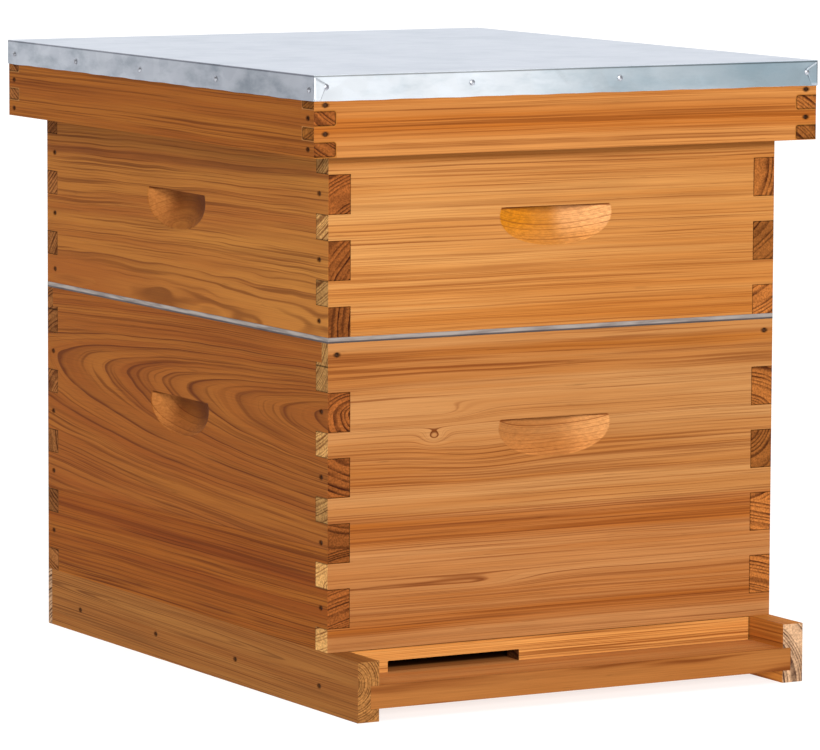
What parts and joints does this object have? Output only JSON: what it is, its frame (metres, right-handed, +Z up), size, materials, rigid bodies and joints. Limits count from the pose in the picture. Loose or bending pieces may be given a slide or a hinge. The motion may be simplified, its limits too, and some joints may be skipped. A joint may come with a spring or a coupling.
{
  "type": "beehive",
  "caption": "Stacked wooden beehive with finger-jointed boxes, carved handholds, removable frames, a wire queen excluder, a low entrance and a metal-topped cover.",
  "frame": {"origin": "on the surface that the rails stand on, under the middle of the whole hive", "axes": "+Z up, the entrance and landing face -Y, +X to the right seen from the front"},
  "size_m": [0.4662, 0.5792, 0.5039],
  "materials": {
    "box_wood": "satin, waxed softwood",
    "rail_wood": "satin, waxed softwood",
    "floor_wood": "satin, waxed softwood",
    "reducer_wood": "satin, waxed softwood",
    "cover_wood": "satin, waxed softwood",
    "deck_wood": "matt, bare softwood",
    "inner_cover_wood": "matt, bare softwood",
    "panel_wood": "matt, thin plywood",
    "frame_wood": "matt, bare softwood, with a wax sheet",
    "galvanised_sheet": "satin galvanised sheet",
    "excluder_steel": "satin galvanised wire and folded edging",
    "nail_steel": "dull bare steel",
    "screw_steel": "satin zinc plate"
  },
  "bodies": {
    "bottom_board": {"bottom_rail_left": "rail_wood", "bottom_rail_right": "rail_wood", "bottom_rail_rear": "rail_wood", "floor_board_1": "floor_wood", "floor_board_2": "floor_wood", "floor_board_3": "floor_wood", "floor_board_4": "floor_wood", "bottom_board_nails": "nail_steel"},
    "entrance_reducer": {"entrance_reducer": "reducer_wood"},
    "brood_box": {"brood_front_board": "box_wood", "brood_rear_board": "box_wood", "brood_left_board": "box_wood", "brood_right_board": "box_wood", "brood_box_nails": "nail_steel"},
    "queen_excluder": {"excluder_rim": "excluder_steel", "excluder_grille": "excluder_steel"},
    "honey_super": {"super_front_board": "box_wood", "super_rear_board": "box_wood", "super_left_board": "box_wood", "super_right_board": "box_wood", "super_nails": "nail_steel"},
    "inner_cover": {"inner_cover_panel": "panel_wood", "inner_cover_rim_front": "inner_cover_wood", "inner_cover_rim_rear": "inner_cover_wood", "inner_cover_rim_left": "inner_cover_wood", "inner_cover_rim_right": "inner_cover_wood", "inner_cover_nails": "nail_steel"},
    "telescoping_cover": {"cover_rim_front": "cover_wood", "cover_rim_rear": "cover_wood", "cover_rim_left": "cover_wood", "cover_rim_right": "cover_wood", "cover_deck_board_1": "deck_wood", "cover_deck_board_2": "deck_wood", "cover_deck_board_3": "deck_wood", "cover_sheet": "galvanised_sheet", "cover_rim_nails": "nail_steel", "cover_deck_nails": "nail_steel", "cover_sheet_screws": "screw_steel"},
    "brood_frame_01": {"brood_frame_01": "frame_wood"},
    "brood_frame_02": {"brood_frame_02": "frame_wood"},
    "brood_frame_03": {"brood_frame_03": "frame_wood"},
    "brood_frame_04": {"brood_frame_04": "frame_wood"},
    "brood_frame_05": {"brood_frame_05": "frame_wood"},
    "brood_frame_06": {"brood_frame_06": "frame_wood"},
    "brood_frame_07": {"brood_frame_07": "frame_wood"},
    "brood_frame_08": {"brood_frame_08": "frame_wood"},
    "brood_frame_09": {"brood_frame_09": "frame_wood"},
    "brood_frame_10": {"brood_frame_10": "frame_wood"},
    "super_frame_01": {"super_frame_01": "frame_wood"},
    "super_frame_02": {"super_frame_02": "frame_wood"},
    "super_frame_03": {"super_frame_03": "frame_wood"},
    "super_frame_04": {"super_frame_04": "frame_wood"},
    "super_frame_05": {"super_frame_05": "frame_wood"},
    "super_frame_06": {"super_frame_06": "frame_wood"},
    "super_frame_07": {"super_frame_07": "frame_wood"},
    "super_frame_08": {"super_frame_08": "frame_wood"},
    "super_frame_09": {"super_frame_09": "frame_wood"},
    "super_frame_10": {"super_frame_10": "frame_wood"}
  },
  "joints": [
    {"name": "reducer_slide", "type": "slide", "parent": "bottom_board", "child": "entrance_reducer", "axis": [0, -1, 0], "range_m": [0, 0.1]},
    {"name": "brood_box_lift", "type": "slide", "parent": "bottom_board", "child": "brood_box", "axis": [0, 0, 1], "range_m": [0, 0.1]},
    {"name": "excluder_lift", "type": "slide", "parent": "brood_box", "child": "queen_excluder", "axis": [0, 0, 1], "range_m": [0, 0.55]},
    {"name": "super_lift", "type": "slide", "parent": "queen_excluder", "child": "honey_super", "axis": [0, 0, 1], "range_m": [0, 0.1]},
    {"name": "inner_cover_lift", "type": "slide", "parent": "honey_super", "child": "inner_cover", "axis": [0, 0, 1], "range_m": [0, 0.4]},
    {"name": "cover_lift", "type": "slide", "parent": "inner_cover", "child": "telescoping_cover", "axis": [0, 0, 1], "range_m": [0, 0.15]},
    {"name": "brood_frame_01_lift", "type": "slide", "parent": "brood_box", "child": "brood_frame_01", "axis": [0, 0, 1], "range_m": [0, 0.2475]},
    {"name": "brood_frame_02_lift", "type": "slide", "parent": "brood_box", "child": "brood_frame_02", "axis": [0, 0, 1], "range_m": [0, 0.2475]},
    {"name": "brood_frame_03_lift", "type": "slide", "parent": "brood_box", "child": "brood_frame_03", "axis": [0, 0, 1], "range_m": [0, 0.2475]},
    {"name": "brood_frame_04_lift", "type": "slide", "parent": "brood_box", "child": "brood_frame_04", "axis": [0, 0, 1], "range_m": [0, 0.2475]},
    {"name": "brood_frame_05_lift", "type": "slide", "parent": "brood_box", "child": "brood_frame_05", "axis": [0, 0, 1], "range_m": [0, 0.2475]},
    {"name": "brood_frame_06_lift", "type": "slide", "parent": "brood_box", "child": "brood_frame_06", "axis": [0, 0, 1], "range_m": [0, 0.2475]},
    {"name": "brood_frame_07_lift", "type": "slide", "parent": "brood_box", "child": "brood_frame_07", "axis": [0, 0, 1], "range_m": [0, 0.2475]},
    {"name": "brood_frame_08_lift", "type": "slide", "parent": "brood_box", "child": "brood_frame_08", "axis": [0, 0, 1], "range_m": [0, 0.2475]},
    {"name": "brood_frame_09_lift", "type": "slide", "parent": "brood_box", "child": "brood_frame_09", "axis": [0, 0, 1], "range_m": [0, 0.2475]},
    {"name": "brood_frame_10_lift", "type": "slide", "parent": "brood_box", "child": "brood_frame_10", "axis": [0, 0, 1], "range_m": [0, 0.2475]},
    {"name": "super_frame_01_lift", "type": "slide", "parent": "honey_super", "child": "super_frame_01", "axis": [0, 0, 1], "range_m": [0, 0.18]},
    {"name": "super_frame_02_lift", "type": "slide", "parent": "honey_super", "child": "super_frame_02", "axis": [0, 0, 1], "range_m": [0, 0.18]},
    {"name": "super_frame_03_lift", "type": "slide", "parent": "honey_super", "child": "super_frame_03", "axis": [0, 0, 1], "range_m": [0, 0.18]},
    {"name": "super_frame_04_lift", "type": "slide", "parent": "honey_super", "child": "super_frame_04", "axis": [0, 0, 1], "range_m": [0, 0.18]},
    {"name": "super_frame_05_lift", "type": "slide", "parent": "honey_super", "child": "super_frame_05", "axis": [0, 0, 1], "range_m": [0, 0.18]},
    {"name": "super_frame_06_lift", "type": "slide", "parent": "honey_super", "child": "super_frame_06", "axis": [0, 0, 1], "range_m": [0, 0.18]},
    {"name": "super_frame_07_lift", "type": "slide", "parent": "honey_super", "child": "super_frame_07", "axis": [0, 0, 1], "range_m": [0, 0.18]},
    {"name": "super_frame_08_lift", "type": "slide", "parent": "honey_super", "child": "super_frame_08", "axis": [0, 0, 1], "range_m": [0, 0.18]},
    {"name": "super_frame_09_lift", "type": "slide", "parent": "honey_super", "child": "super_frame_09", "axis": [0, 0, 1], "range_m": [0, 0.18]},
    {"name": "super_frame_10_lift", "type": "slide", "parent": "honey_super", "child": "super_frame_10", "axis": [0, 0, 1], "range_m": [0, 0.18]}
  ],
  "couplings": [
    {"joint": "brood_frame_01_lift", "follows": "excluder_lift", "ratio": 0.45},
    {"joint": "brood_frame_02_lift", "follows": "excluder_lift", "ratio": 0.45},
    {"joint": "brood_frame_03_lift", "follows": "excluder_lift", "ratio": 0.45},
    {"joint": "brood_frame_04_lift", "follows": "excluder_lift", "ratio": 0.45},
    {"joint": "brood_frame_05_lift", "follows": "excluder_lift", "ratio": 0.45},
    {"joint": "brood_frame_06_lift", "follows": "excluder_lift", "ratio": 0.45},
    {"joint": "brood_frame_07_lift", "follows": "excluder_lift", "ratio": 0.45},
    {"joint": "brood_frame_08_lift", "follows": "excluder_lift", "ratio": 0.45},
    {"joint": "brood_frame_09_lift", "follows": "excluder_lift", "ratio": 0.45},
    {"joint": "brood_frame_10_lift", "follows": "excluder_lift", "ratio": 0.45},
    {"joint": "super_frame_01_lift", "follows": "inner_cover_lift", "ratio": 0.45},
    {"joint": "super_frame_02_lift", "follows": "inner_cover_lift", "ratio": 0.45},
    {"joint": "super_frame_03_lift", "follows": "inner_cover_lift", "ratio": 0.45},
    {"joint": "super_frame_04_lift", "follows": "inner_cover_lift", "ratio": 0.45},
    {"joint": "super_frame_05_lift", "follows": "inner_cover_lift", "ratio": 0.45},
    {"joint": "super_frame_06_lift", "follows": "inner_cover_lift", "ratio": 0.45},
    {"joint": "super_frame_07_lift", "follows": "inner_cover_lift", "ratio": 0.45},
    {"joint": "super_frame_08_lift", "follows": "inner_cover_lift", "ratio": 0.45},
    {"joint": "super_frame_09_lift", "follows": "inner_cover_lift", "ratio": 0.45},
    {"joint": "super_frame_10_lift", "follows": "inner_cover_lift", "ratio": 0.45}
  ]
}
